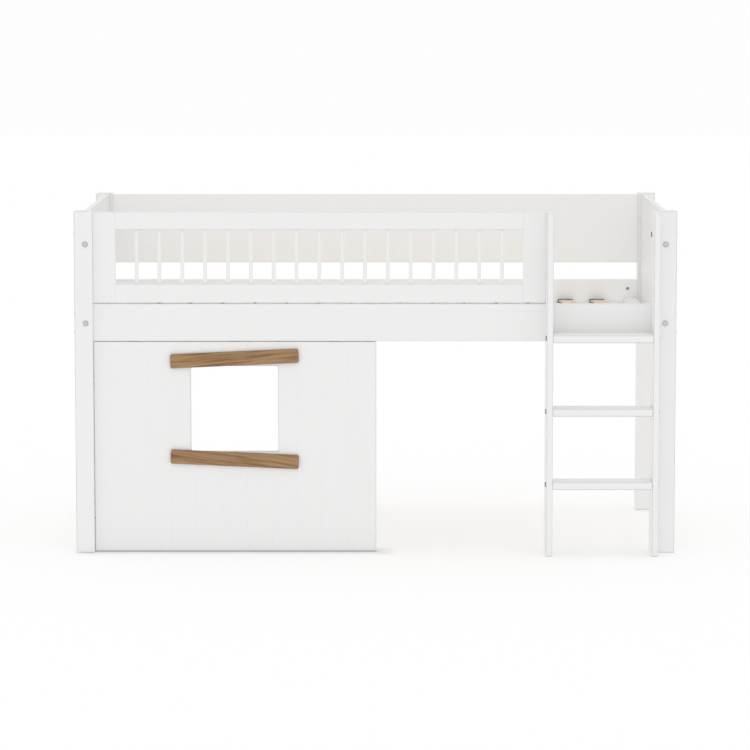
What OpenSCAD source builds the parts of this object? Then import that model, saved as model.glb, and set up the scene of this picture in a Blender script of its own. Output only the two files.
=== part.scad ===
// Cabin bed with a ladder, a barred guard and a grooved play panel below.
// X runs along the bed, Y from the ladder side to the wall side, Z up from the floor.

/* [Overall] */
// Length over the posts
bed_len = 2110; // [1900:5:2600]
// Depth over the posts, without the ladder
bed_depth = 1010; // [800:5:1300]
// Height of the posts above the floor
bed_h = 1210; // [1150:5:1500]

/* [Posts and legs] */
// Side of the square posts
post_w = 63; // [54:1:78]
// Rounding of the post edges
post_round = 3; // [1:0.5:6]
// Distance of the joint between leg and upper post below the bed sides
leg_joint_drop = 207; // [140:1:310]
// Width and depth of the shadow groove at the top of the legs
joint_groove = 0.4; // [0.2:0.1:0.8]

/* [Boards] */
// Thickness of panels, bed sides, guards and stiles
board_t = 22; // [18:1:26]
// Distance from the outer faces of the posts to the boards
board_inset = 28; // [20:1:32]
// Rounding of the board edges
board_round = 2; // [1:0.5:4]
// Distance from the top of the posts to the top of the boards
board_drop = 5; // [0:1:20]

/* [Bed sides] */
// Height of the underside of the bed sides
side_z = 750; // [600:5:840]
// Height of the bed side boards
side_h = 132; // [110:1:160]

/* [Front guard] */
// Gap between bed side and guard
guard_gap = 4; // [1:0.5:10]
// Height of the lower guard rail
guard_low_rail = 65; // [50:1:80]
// Height of the upper guard rail
guard_top_rail_h = 62; // [50:1:80]
// Width of the two end boards of the guard
guard_end_w = 80; // [70:1:110]
// Diameter of the round bars
bar_d = 13; // [10:0.5:16]
// Largest clear gap between two bars
bar_gap_max = 68; // [50:1:75]
// Depth of the bar ends in the rails
bar_seat = 12; // [8:1:20]

/* [Back guard] */
// Gap between the back bed side and the back guard board
back_gap = 66; // [50:1:75]

/* [Ladder] */
// Clear width between the stiles
ladder_clear = 350; // [300:5:420]
// Distance that the stiles stand in front of the posts
ladder_proj = 80; // [70:1:120]
// Depth of the rungs
rung_depth = 88; // [76:1:106]
// Thickness of the rungs
rung_t = 28; // [24:1:34]
// Rounding of the rung edges
rung_round = 4; // [2:0.5:8]
// Distance of the rungs behind the front edge of the stiles
rung_set = 2; // [0:0.5:6]
// Height of the top rung's underside above that of the bed side
rung_rise = 4; // [0:1:60]
// Distance from rung to rung
rung_pitch = 258.5; // [215:0.5:290]

/* [Cabin panel] */
// Width of the panel
panel_w = 993; // [820:1:1190]
// Gap between the panel and the floor
panel_floor_gap = 4; // [2:1:20]
// Gap between the panel and the post, and below the bed side
panel_gap = 2; // [1:0.5:8]
// Number of V-grooves
groove_count = 10; // [4:1:12]
// Distance from groove to groove
groove_pitch = 88.1; // [60:0.1:88.1]
// Width of a groove at the face
groove_w = 3; // [2:0.5:6]
// Depth of a groove
groove_deep = 1; // [0.5:0.5:3]
// Width of the window
window_w = 308; // [240:1:380]
// Height of the window
window_h = 303.5; // [240:0.5:370]
// Distance of the window from the top of the panel
window_drop = 86; // [70:1:140]
// Distance of window, laths and grooves to the left of the middle of the panel
window_shift = 2.5; // [0:0.5:8]
// Radius of the window corners
window_round = 7; // [3:1:20]

/* [Laths] */
// Length of the two laths
lath_len = 452; // [360:1:540]
// Height of the laths
lath_h = 50; // [40:1:60]
// Thickness of the laths
lath_t = 10; // [8:0.5:14]
// Tilt of the laths, mirrored above and below the window
lath_tilt = 2.56; // [0:0.1:4]
// Radius of the lath corners
lath_corner = 8; // [4:1:14]
// Distance from the window edge to the middle of a lath
lath_offset = 27; // [22:1:40]

/* [Slatted base] */
// Height of the ledger tops above the underside of the bed sides
ledger_up = 45; // [42:1:62]
// Width of a slat
slat_w = 53; // [42:1:70]
// Thickness of a slat
slat_t = 8; // [6:0.5:12]
// Rounding of the slat edges
slat_round = 2.5; // [1:0.5:2.5]
// Rise of the sprung slats from their holders to their middle
slat_rise = 21; // [8:1:30]
// Distance from slat to slat
slat_pitch = 120; // [90:1:144]
// Side walls and back of the slat holders
holder_wall = 2.5; // [2:0.5:4]
// Thickness of the slat holders over the slats
holder_roof = 1.2; // [1:0.1:4]
// Thickness of the slat holders under the slat ends
holder_floor = 1.5; // [1:0.5:4]
// Rounding of the long edges of the slat holders
holder_round = 5; // [2:0.5:6]
// Diameter of the pegs under the slat holders
peg_d = 8; // [6:1:12]
// Length of the pegs in the ledgers
peg_len = 15; // [10:1:17]
// Clearance around the slats in their holders
slat_fit = 0.2; // [0.1:0.1:0.5]
// Gap between slat ends and the backs of their holders
slat_end_gap = 1; // [0.5:0.5:3]
// Gap between the ends of the end rails and the bed sides
rail_end_gap = 2; // [1:0.5:6]
// Width of the end rails
end_rail_w = 45; // [38:1:54]
// Thickness of the end rails
end_rail_t = 20; // [16:1:34]
// Gap between an end rail and the posts or the end panel, whichever reaches further in
end_rail_gap = 4; // [2:0.5:12]
// Height of the ledgers
ledger_h = 40; // [36:1:48]
// Depth of the ledgers
ledger_t = 28; // [23:1:34]

/* [Bolts and barrel nuts] */
// Thread diameter of the frame bolts
bolt_d = 8; // [6:1:9]
// Diameter of the flat bolt heads
bolt_head_d = 18; // [15:1:21]
// Height of the bolt heads
bolt_head_h = 3; // [2:0.5:5]
// Width across the flats of the hex socket
socket_w = 5; // [4:0.5:5]
// Depth of the hex socket
socket_deep = 4; // [2:0.5:6]
// Barrel nut diameter
nut_d = 12; // [11:0.5:14]
// Barrel nut length
nut_len = 15; // [12:1:17]
// Distance of the barrel nuts from the joint face
nut_in = 36; // [30:1:43]
// Distance from the edges of a bed side to its bolts
side_bolt_edge = 34; // [28:1:40]
// Height between the upper bolts that cross in a post
bolt_cross = 33; // [26:1:45]
// Distance from the top of the guards to the upper bolt
guard_bolt_drop = 79; // [70:1:92]
// Distance from the lower edge of a guard to its lower bolt or dowel
guard_low_fix = 35; // [30:1:40]
// Width of the screwdriver slot in a barrel nut
nut_slot_w = 1.6; // [1:0.2:2.4]
// Depth of the screwdriver slot in a barrel nut
nut_slot_deep = 1.5; // [1:0.5:2.5]
// Length of the sleeve of the cap nut in the right stile
cap_sleeve = 14; // [10:1:17]
// Wall of the sleeve of the cap nut
cap_sleeve_wall = 1.5; // [1:0.5:3]
// Distance of the rung bolts from the front of the rungs
rung_bolt_in = 38; // [28:1:42]
// Distance of the rung dowels from the front of the rungs
rung_dowel_in = 66; // [58:1:70]

/* [Dowels and screws] */
// Dowel diameter
dowel_d = 8; // [6:1:10]
// Length of a dowel in each piece
dowel_in = 20; // [15:1:24]
// Depth of the rung dowels in the stiles
stile_dowel_in = 14; // [10:1:17]
// Screw diameter
screw_d = 4.5; // [3.5:0.5:5]
// Screw head diameter
screw_head_d = 9; // [7:0.5:10]
// Depth of the stile screws in the second piece
stile_screw_in = 26; // [20:1:40]
// Depth of the end rail screws in the ledgers
rail_screw_in = 18; // [12:1:24]
// Depth of the ledger screws in the bed sides
ledger_screw_in = 12; // [8:1:15]
// Depth of the bracket screws in the wood
bracket_screw_in = 13; // [9:1:16]
// Depth of the lath screws in the laths
lath_screw_in = 6; // [4:0.5:6]
// Distance of the stile screws above and below the upper bed side bolt
stile_screw_off = 19; // [13:1:22]
// Height of the lower screw of the right stile
stile_screw_z = 193; // [160:1:232]
// Distance of the end rail screws from the middle of the end rails
rail_screw_off = 13; // [11:1:15]
// Distance of the lath screws from the lath ends
lath_screw_end = 75; // [30:1:100]
// Distance of the lower panel dowel from the lower edge of the panel
panel_dowel_low = 116; // [60:1:140]
// Distance of the upper panel dowel from the upper edge of the panel
panel_dowel_top = 126; // [60:1:130]

/* [Leg joint hardware] */
// Thread diameter of the leg studs
stud_d = 10; // [8:1:12]
// Length of the studs in each piece
stud_in = 48; // [36:1:58]
// Diameter of the insert nuts
insert_d = 14; // [13:1:18]
// Length of the insert nuts
insert_len = 24; // [18:1:30]
// Offset of the locating dowels from the middle of the post
locating_offset = 17; // [14:1:20]

/* [Panel brackets] */
// Width of a bracket
bracket_w = 40; // [32:1:60]
// Distance of the screws under the ledger from the middle of a bracket
bracket_screw_off = 10; // [8:1:11]
// Length of the bracket flange on the panel
bracket_drop = 48; // [40:1:60]
// Length of the bracket flange under the ledger
bracket_reach = 23; // [20:1:26]
// Distance of the screws from the free edges of both flanges
bracket_edge = 9; // [7:1:10]
// Sheet thickness of the brackets
bracket_t = 2; // [1.5:0.5:3]
// Distance from bracket to bracket
bracket_pitch = 350; // [280:5:400]

/* [Glides] */
// Diameter of the nail-on glides
glide_d = 20; // [16:1:22]
// Height of the glides
glide_h = 2; // [1.5:0.5:4]
// Diameter of the glide nails
glide_nail_d = 2.4; // [2:0.2:3]
// Length of the glide nails
glide_nail_len = 18; // [12:1:24]
// Distance of the stile glides from the edges of the stiles
glide_in = 20; // [13:1:30]

/* [Fits] */
// Radial clearance around bolts and screws that pass through
pass_fit = 0.3; // [0.2:0.1:0.6]
// Radial clearance of dowels, bars, threads and nuts in their holes
snug_fit = 0.1; // [0.05:0.05:0.2]
// Clearance of the stile notches around the bed side
notch_fit = 0.5; // [0.3:0.1:1]
// Radial clearance of the barrel nut access holes in the ledgers
nut_access = 0.6; // [0.4:0.1:1]
// Extra depth of blind holes
hole_spare = 1; // [0.5:0.5:2]

/* [Hidden] */
$fn = 32;
cut = 1;                                       // overshoot of cutting bodies
half_len = bed_len / 2;
front_y = (ladder_proj - bed_depth - bolt_head_h) / 2;   // front plane of the posts
mid_y = front_y + bed_depth / 2;
in_x = half_len - post_w;                      // inner faces of the posts along X
in_y = bed_depth / 2 - post_w;                 // inner faces of the posts along Y, from mid_y
board_out = board_inset + board_t;             // outer post face to inner board face
face_x = half_len - board_out;                 // inner faces of the end panels
face_y = bed_depth / 2 - board_out;            // inner faces of the bed sides, from mid_y
end_mid_x = half_len - board_inset - board_t / 2;
side_mid_y = bed_depth / 2 - board_inset - board_t / 2;
board_top = bed_h - board_drop;
side_top = side_z + side_h;
leg_joint_z = side_z - leg_joint_drop;         // joint between leg and upper post
side_bolt_zs = [side_z + side_bolt_edge, side_top - side_bolt_edge];
guard_bolt_z = board_top - guard_bolt_drop;
end_bolt_zs = [side_z + side_h / 2, guard_bolt_z - bolt_cross];
guard_low_z = side_top + guard_gap;
guard_fix_z = guard_low_z + guard_low_fix;
back_guard_z = side_top + back_gap;
back_bolt_zs = [back_guard_z + guard_low_fix, guard_bolt_z];

stile_right_x = in_x - board_t;                // left face of the right stile
stile_left_x = stile_right_x - ladder_clear - board_t;   // left face of the left stile
stile_front_y = front_y - ladder_proj;
stile_back_y = front_y + post_w;
rung_front_y = stile_front_y + rung_set;
rung_zs = [for (i = [0:2]) side_z + rung_rise - (2 - i) * rung_pitch];
rung_bolt_y = rung_front_y + rung_bolt_in;
rung_dowel_y = rung_front_y + rung_dowel_in;

guard_left_x = -in_x;
guard_right_x = stile_left_x;
open_left_x = guard_left_x + guard_end_w;
open_right_x = guard_right_x - guard_end_w;
open_low_z = guard_low_z + guard_low_rail;
open_top_z = board_top - guard_top_rail_h;
open_w = open_right_x - open_left_x;
bar_count = ceil((open_w - bar_gap_max) / (bar_d + bar_gap_max));
bar_gap = (open_w - bar_count * bar_d) / (bar_count + 1);
bar_xs = [for (i = [0:bar_count - 1]) open_left_x + bar_gap + bar_d / 2 + i * (bar_gap + bar_d)];
frame_dowel_dz = dowel_d * 1.75;               // half the distance of two dowels in a rail end

panel_left_x = -in_x + panel_gap;
window_x = panel_left_x + panel_w / 2 - window_shift;    // middle of window, laths and grooves
panel_top = side_z - panel_gap;
panel_front_y = front_y + board_inset;
panel_back_y = panel_front_y + board_t;
panel_dowel_zs = [panel_floor_gap + panel_dowel_low, panel_top - panel_dowel_top];
window_top = panel_top - window_drop;
window_z = window_top - window_h;
lath_zs = [window_z - lath_offset, window_top + lath_offset];
lath_screw_x = lath_len / 2 - lath_screw_end;

ledger_top = side_z + ledger_up;               // also the underside of slat holders and end rails
end_rail_x = min(in_x, face_x) - end_rail_gap - end_rail_w / 2;
holder_w = slat_w + 2 * (slat_fit + holder_wall);
slat_side_n = floor((end_rail_x - end_rail_w / 2 - holder_w / 2) / slat_pitch);
slat_xs = [for (i = [-slat_side_n:slat_side_n]) i * slat_pitch];
ledger_len = 2 * (end_rail_x + end_rail_w / 2);
ledger_y = face_y - ledger_t / 2;              // middle of the ledgers, from mid_y
rail_screw_x = end_rail_x + rail_screw_off;
ledger_screw_z = ledger_top - ledger_h / 2;
ledger_xs = [for (s = [-1, 1], i = [0:2:slat_side_n - 1]) s * (i + 0.5) * slat_pitch];   // between the slats
bracket_xs = [for (i = [-1:1]) window_x + i * bracket_pitch];
bracket_top = ledger_top - ledger_h;
mouth_y = face_y - ledger_t;                   // mouths of the slat holders, from mid_y
slat_reach = face_y - holder_wall - slat_end_gap;
slat_arc_r = (pow(mouth_y, 2) + pow(slat_rise, 2)) / (2 * slat_rise);    // underside of the slats
slat_end_drop = sqrt(pow(slat_arc_r, 2) - pow(mouth_y, 2)) - sqrt(pow(slat_arc_r, 2) - pow(slat_reach, 2));
slat_mouth_z = ledger_top + holder_floor + slat_fit + slat_end_drop;     // underside of slats at the mouths
slat_arc_z = slat_mouth_z + slat_rise - slat_arc_r;                      // middle of the slats' arc
holder_h = slat_mouth_z + slat_t + slat_fit + holder_roof - ledger_top;
stile_fix_zs = [side_top - side_bolt_edge - stile_screw_off, side_top - side_bolt_edge + stile_screw_off];
stile_screw_len = board_t + stile_screw_in;
rail_screw_len = end_rail_t + rail_screw_in;
ledger_screw_len = ledger_t + ledger_screw_in;
bracket_screw_len = bracket_t + bracket_screw_in;
lath_screw_len = board_t + lath_screw_in;
tip_len = screw_d;                             // pointed end of a screw

bolt_hole_d = bolt_d + 2 * pass_fit;
nut_hole_d = nut_d + 2 * snug_fit;
screw_hole_d = screw_d + 2 * pass_fit;
frame_bolt_len = post_w + nut_in + nut_d / 2;  // bolts that pass a post
frame_hole_len = post_w + nut_in + nut_d;
stile_bolt_len = board_t + nut_in + nut_d / 2; // bolts that pass a stile
stile_hole_len = board_t + nut_in + nut_d;
cap_sleeve_d = bolt_d + 2 * cap_sleeve_wall;

// ---- shapes ----

module rounded_rect(w, h, r) {
    square([w, h - 2 * r], center = true);
    square([w - 2 * r, h], center = true);
    for (sx = [-1, 1], sy = [-1, 1])
        translate([sx * (w / 2 - r), sy * (h / 2 - r)]) circle(r);
}

// Box with all twelve edges rounded, centred on the origin
module eased_box(size, r) {
    intersection() {
        linear_extrude(size.z, center = true) rounded_rect(size.x, size.y, r);
        rotate([90, 0, 0]) linear_extrude(size.y + 2 * cut, center = true) rounded_rect(size.x, size.z, r);
        rotate([90, 0, 90]) linear_extrude(size.x + 2 * cut, center = true) rounded_rect(size.y, size.z, r);
    }
}

// Rounded box between two corners
module board(low, high, r = board_round) {
    translate((low + high) / 2) eased_box(high - low, r);
}

// Board with four rounded long edges along X and square ends
module rail(low, high, r = board_round) {
    size = high - low;
    translate((low + high) / 2)
        rotate([90, 0, 90]) linear_extrude(size.x, center = true) rounded_rect(size.y, size.z, r);
}

// Turns +Z to point inwards from the left (-1) or right (1) side, and from the front (-1) or back (1)
module from_side(sx) { rotate([0, -90 * sx, 0]) children(); }

module from_face(sy) { rotate([90 * sy, 0, 0]) children(); }

module bore(d, deep) {
    translate([0, 0, -cut]) cylinder(d = d, h = deep + cut);
}

// Flat-headed bolt with a hex socket: the head's underside lies at the origin
module bolt(len) {
    edge = bolt_head_h / 3;
    difference() {
        rotate_extrude() polygon([
            [0, -bolt_head_h], [bolt_head_d / 2 - edge, -bolt_head_h], [bolt_head_d / 2, -bolt_head_h + edge],
            [bolt_head_d / 2, 0], [bolt_d / 2, 0], [bolt_d / 2, len - cut], [bolt_d / 2 - cut, len], [0, len]
        ]);
        translate([0, 0, -bolt_head_h - cut])
            cylinder(d = socket_w / cos(30), h = socket_deep + cut, $fn = 6);
    }
}

// Barrel nut along Z around the origin, with its cross bore along X and a screwdriver slot
module barrel_nut() {
    difference() {
        cylinder(d = nut_d, h = nut_len, center = true);
        rotate([0, 90, 0]) cylinder(d = bolt_d + 2 * snug_fit, h = nut_d + 2 * cut, center = true);
        translate([0, 0, nut_len / 2])
            cube([nut_d + 2 * cut, nut_slot_w, 2 * nut_slot_deep], center = true);
    }
}

// Blind hole for a barrel nut: its mouth lies at the origin, board_t / 2 from the bolt's axis
module nut_hole() {
    bore(nut_hole_d, board_t / 2 + nut_len / 2 + hole_spare);
}

// Countersunk wood screw: the flat of the head lies at the origin
module wood_screw(len) {
    rotate_extrude() polygon([
        [0, 0], [screw_head_d / 2, 0], [screw_d / 2, (screw_head_d - screw_d) / 2],
        [screw_d / 2, len - tip_len], [0, len]
    ]);
}

// Countersunk clearance hole that goes through a piece of the given thickness
module screw_hole(through) {
    r = screw_hole_d / 2;
    head = screw_head_d / 2 + pass_fit;
    bore(screw_hole_d, through + cut);
    rotate_extrude() polygon([[0, -cut], [head, -cut], [head, 0], [r, head - r], [0, head - r]]);
}

// Pilot hole for a screw of the given length that first passes another piece
module pilot(len, through) {
    translate([0, 0, through]) bore(screw_d + 2 * snug_fit, len - through + hole_spare);
}

module dowel(len_low, len_high) {
    bevel = dowel_d / 8;
    r = dowel_d / 2;
    rotate_extrude() polygon([
        [0, -len_low], [r - bevel, -len_low], [r, -len_low + bevel],
        [r, len_high - bevel], [r - bevel, len_high], [0, len_high]
    ]);
}

module dowel_hole(deep) {
    bore(dowel_d + 2 * snug_fit, deep + hole_spare);
}

// ---- places of joints: children() has +Z pointing into the wood ----

module at_side_bolts(sxs = [-1, 1], sys = [-1, 1]) {
    for (sx = sxs, sy = sys, z = side_bolt_zs)
        translate([sx * half_len, mid_y + sy * side_mid_y, z]) from_side(sx) children();
}

module at_side_nuts(sxs = [-1, 1], sys = [-1, 1]) {
    for (sx = sxs, sy = sys, z = side_bolt_zs)
        translate([sx * (in_x - nut_in), mid_y + sy * face_y, z]) from_face(-sy) children();
}

module at_end_bolts(sxs = [-1, 1], sys = [-1, 1]) {
    for (sx = sxs, sy = sys, z = end_bolt_zs)
        translate([sx * end_mid_x, mid_y + sy * bed_depth / 2, z]) from_face(sy) children();
}

module at_end_nuts(sxs = [-1, 1]) {
    for (sx = sxs, sy = [-1, 1], z = end_bolt_zs)
        translate([sx * face_x, mid_y + sy * (in_y - nut_in), z]) from_side(-sx) children();
}

module at_back_bolts(sxs = [-1, 1]) {
    for (sx = sxs, z = back_bolt_zs)
        translate([sx * half_len, mid_y + side_mid_y, z]) from_side(sx) children();
}

// Barrel nuts in the wall side of the back guard board
module at_back_nuts() {
    for (sx = [-1, 1], z = back_bolt_zs)
        translate([sx * (in_x - nut_in), mid_y + face_y + board_t, z]) from_face(1) children();
}

module at_guard_post_bolt() {
    translate([-half_len, mid_y - side_mid_y, guard_bolt_z]) from_side(-1) children();
}

module at_guard_post_nut() {
    translate([nut_in - in_x, mid_y - face_y, guard_bolt_z]) from_face(1) children();
}

module at_guard_stile_bolts() {
    for (z = [guard_fix_z, guard_bolt_z])
        translate([stile_left_x + board_t, mid_y - side_mid_y, z]) from_side(1) children();
}

module at_guard_stile_nuts() {
    for (z = [guard_fix_z, guard_bolt_z])
        translate([guard_right_x - nut_in, mid_y - face_y, z]) from_face(1) children();
}

// Joint face between the left post and the guard
module at_guard_dowel() {
    translate([-in_x, mid_y - side_mid_y, guard_fix_z]) from_side(-1) children();
}

// Ends of the two guard rails; +Z points into the rail
module at_frame_dowels(sxs = [-1, 1], rails = [0, 1]) {
    mids = [(guard_low_z + open_low_z) / 2, (open_top_z + board_top) / 2];
    for (sx = sxs, i = rails, dz = [-frame_dowel_dz, frame_dowel_dz])
        translate([sx < 0 ? open_left_x : open_right_x, mid_y - side_mid_y, mids[i] + dz])
            from_side(sx) children();
}

module at_ladder_post_bolt() {
    translate([half_len, mid_y - side_mid_y, guard_bolt_z]) from_side(1) children();
}

// Screw from the inner face of the right stile into the front leg
module at_ladder_post_screw() {
    translate([stile_right_x, mid_y - side_mid_y, stile_screw_z]) from_side(-1) children();
}

// Outer faces of the stiles, one place for each rung
module at_rung_bolts(sxs = [-1, 1], zs = rung_zs) {
    for (sx = sxs, z = zs)
        translate([sx < 0 ? stile_left_x : in_x, rung_bolt_y, z + rung_t / 2]) from_side(sx) children();
}

// Barrel nut holes in the undersides of the rungs
module at_rung_nuts(zs = rung_zs) {
    for (x = [stile_left_x + board_t + nut_in, stile_right_x - nut_in], z = zs)
        translate([x, rung_bolt_y, z]) children();
}

// Joint faces between stiles and rungs; +Z points into the rung
module at_rung_dowels(sxs = [-1, 1], zs = rung_zs) {
    for (sx = sxs, z = zs)
        translate([sx < 0 ? stile_left_x + board_t : stile_right_x, rung_dowel_y, z + rung_t / 2])
            from_side(sx) children();
}

// Inner face of the front bed side, behind the stiles; +Z points to the front
module at_stile_screws(xs = [stile_left_x, stile_right_x]) {
    for (x = xs, z = stile_fix_zs)
        translate([x + board_t / 2, mid_y - face_y, z]) from_face(1) children();
}

module at_ledger_screws(sys = [-1, 1]) {
    for (sy = sys, x = ledger_xs)
        translate([x, mid_y + sy * (face_y - ledger_t), ledger_screw_z]) from_face(-sy) children();
}

// Tops of the ledgers under the slat holders; +Z points down
module at_slat_holders(sys = [-1, 1]) {
    for (x = slat_xs, sy = sys)
        translate([x, mid_y + sy * ledger_y, ledger_top]) rotate([180, 0, 0]) children();
}

module at_rail_screws(sxs = [-1, 1], sys = [-1, 1]) {
    for (sx = sxs, sy = sys)
        translate([sx * rail_screw_x, mid_y + sy * ledger_y, ledger_top + end_rail_t])
            rotate([180, 0, 0]) children();
}

// Back of the panel brackets: +Z points to the front, into the panel
module at_bracket_panel_screws() {
    for (x = bracket_xs, dz = [bracket_drop / 2 - bracket_edge, bracket_drop - bracket_edge])
        translate([x, panel_back_y + bracket_t, bracket_top - dz]) from_face(1) children();
}

// Underside of the panel brackets: +Z points up, into the ledger
module at_bracket_ledger_screws() {
    for (x = bracket_xs, dx = [-bracket_screw_off, bracket_screw_off])
        translate([x + dx, panel_back_y + bracket_reach - bracket_edge, bracket_top - bracket_t]) children();
}

// Left edge of the cabin panel: +Z points into the post
module at_panel_dowels() {
    for (z = panel_dowel_zs)
        translate([-in_x, (panel_front_y + panel_back_y) / 2, z]) from_side(1) children();
}

// Back face of the cabin panel behind the laths; +Z points to the front
module at_lath_screws(rows = [0, 1]) {
    for (i = rows, sx = [-1, 1])
        translate([window_x, panel_back_y, lath_zs[i]]) rotate([0, lath_turn(i), 0])
            translate([sx * lath_screw_x, 0, 0]) from_face(1) children();
}

function lath_turn(i) = i == 0 ? lath_tilt : -lath_tilt;

function post_x(sx) = sx * (half_len - post_w / 2);
function post_y(sy) = mid_y + sy * (bed_depth / 2 - post_w / 2);

// Middle of the joint between leg and post; +Z points up
module at_leg_joints(sxs = [-1, 1], sys = [-1, 1]) {
    for (sx = sxs, sy = sys) translate([post_x(sx), post_y(sy), leg_joint_z]) children();
}

module at_leg_dowels(sxs = [-1, 1], sys = [-1, 1]) {
    at_leg_joints(sxs, sys)
        for (s = [-1, 1]) translate([s * locating_offset, s * locating_offset, 0]) children();
}

module at_leg_glides(sxs = [-1, 1], sys = [-1, 1]) {
    for (sx = sxs, sy = sys) translate([post_x(sx), post_y(sy), 0]) children();
}

module at_stile_glides(xs = [stile_left_x, stile_right_x]) {
    for (x = xs, y = [stile_front_y + glide_in, stile_back_y - glide_in])
        translate([x + board_t / 2, y, 0]) children();
}

// ---- posts and legs ----

// Everything that is drilled into one corner post, leg included
module post_bores(sx, sy) {
    at_side_bolts([sx], [sy]) bore(bolt_hole_d, post_w + cut);
    at_end_bolts([sx], [sy]) bore(bolt_hole_d, post_w + cut);
    if (sy > 0) at_back_bolts([sx]) bore(bolt_hole_d, post_w + cut);
    if (sy < 0 && sx < 0) {
        at_guard_post_bolt() bore(bolt_hole_d, post_w + cut);
        at_guard_dowel() mirror([0, 0, 1]) dowel_hole(dowel_in);
        at_panel_dowels() dowel_hole(dowel_in);
    }
    if (sy < 0 && sx > 0) {
        at_ladder_post_bolt() bore(bolt_hole_d, post_w + cut);
        at_ladder_post_screw() pilot(stile_screw_len, board_t);
    }
    at_leg_joints([sx], [sy]) for (up = [0, 1]) mirror([0, 0, up]) {
        bore(stud_d + 2 * pass_fit, stud_in + hole_spare);
        bore(insert_d + 2 * snug_fit, insert_len);
    }
    at_leg_dowels([sx], [sy]) for (up = [0, 1]) mirror([0, 0, up]) dowel_hole(dowel_in);
    at_leg_glides([sx], [sy]) glide_hole();
}

// Column with rounded edges, cut square at its joint: joint_end is 0 for the lower and 1 for the upper end
module corner_piece(sx, sy, low, high, joint_end) {
    w = post_w / 2;
    spare = 2 * post_round;
    difference() {
        board([post_x(sx) - w, post_y(sy) - w, low - (1 - joint_end) * spare],
              [post_x(sx) + w, post_y(sy) + w, high + joint_end * spare], post_round);
        at_leg_joints([sx], [sy]) mirror([0, 0, 1 - joint_end])
            linear_extrude(spare + cut) square(post_w + 2 * cut, center = true);
        post_bores(sx, sy);
    }
}

module upper_post(sx, sy) {
    color("white") corner_piece(sx, sy, leg_joint_z, bed_h, 0);
}

module leg(sx, sy) {
    neck = post_w - 2 * joint_groove;
    color("white") difference() {
        corner_piece(sx, sy, glide_h, leg_joint_z, 1);
        at_leg_joints([sx], [sy]) translate([0, 0, -joint_groove])
            linear_extrude(joint_groove + cut) difference() {
                square(post_w + 2 * cut, center = true);
                rounded_rect(neck, neck, post_round - joint_groove);
            }
    }
}

module post_front_left() { upper_post(-1, -1); }
module post_front_right() { upper_post(1, -1); }
module post_back_left() { upper_post(-1, 1); }
module post_back_right() { upper_post(1, 1); }
module leg_front_left() { leg(-1, -1); }
module leg_front_right() { leg(1, -1); }
module leg_back_left() { leg(-1, 1); }
module leg_back_right() { leg(1, 1); }

// ---- end panels, bed sides and back guard ----

module end_panel(sx) {
    x0 = sx > 0 ? face_x : -face_x - board_t;
    color("white") difference() {
        board([x0, mid_y - in_y, side_z], [x0 + board_t, mid_y + in_y, board_top]);
        at_end_bolts([sx]) bore(bolt_hole_d, frame_hole_len);
        at_end_nuts([sx]) nut_hole();
    }
}

module end_panel_left() { end_panel(-1); }
module end_panel_right() { end_panel(1); }

module bed_side(sy) {
    y0 = mid_y + (sy > 0 ? face_y : -face_y - board_t);
    color("white") difference() {
        board([-in_x, y0, side_z], [in_x, y0 + board_t, side_top]);
        at_side_bolts(sys = [sy]) bore(bolt_hole_d, frame_hole_len);
        at_side_nuts(sys = [sy]) nut_hole();
        at_ledger_screws([sy]) pilot(ledger_screw_len, ledger_t);
        if (sy < 0) at_stile_screws() screw_hole(board_t);
    }
}

module bed_side_front() { bed_side(-1); }
module bed_side_back() { bed_side(1); }

module back_guard_board() {
    y0 = mid_y + face_y;
    color("white") difference() {
        board([-in_x, y0, back_guard_z], [in_x, y0 + board_t, board_top]);
        at_back_bolts() bore(bolt_hole_d, frame_hole_len);
        at_back_nuts() nut_hole();
    }
}

// ---- front guard ----

module guard_bar_holes() {
    wide = bar_d + 2 * snug_fit;
    for (x = bar_xs) translate([x, mid_y - side_mid_y, open_low_z - bar_seat - hole_spare])
        cylinder(d = wide, h = open_top_z - open_low_z + 2 * (bar_seat + hole_spare));
}

module guard_rail(i, low, high) {
    y0 = mid_y - face_y - board_t;
    color("white") difference() {
        rail([open_left_x, y0, low], [open_right_x, y0 + board_t, high]);
        guard_bar_holes();
        at_frame_dowels(rails = [i]) dowel_hole(dowel_in);
    }
}

module guard_bottom_rail() { guard_rail(0, guard_low_z, open_low_z); }
module guard_top_rail() { guard_rail(1, open_top_z, board_top); }

module guard_end_board(x0, sx) {
    y0 = mid_y - face_y - board_t;
    difference() {
        board([x0, y0, guard_low_z], [x0 + guard_end_w, y0 + board_t, board_top]);
        at_frame_dowels([sx]) mirror([0, 0, 1]) dowel_hole(dowel_in);
    }
}

module guard_end_left() {
    color("white") difference() {
        guard_end_board(guard_left_x, -1);
        at_guard_post_bolt() bore(bolt_hole_d, frame_hole_len);
        at_guard_post_nut() nut_hole();
        at_guard_dowel() dowel_hole(dowel_in);
    }
}

module guard_end_right() {
    color("white") difference() {
        guard_end_board(open_right_x, 1);
        at_guard_stile_bolts() bore(bolt_hole_d, stile_hole_len);
        at_guard_stile_nuts() nut_hole();
    }
}

module guard_bars() {
    color("white") for (x = bar_xs) translate([x, mid_y - side_mid_y, open_low_z - bar_seat])
        cylinder(d = bar_d, h = open_top_z - open_low_z + 2 * bar_seat);
}

// ---- ladder ----

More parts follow.
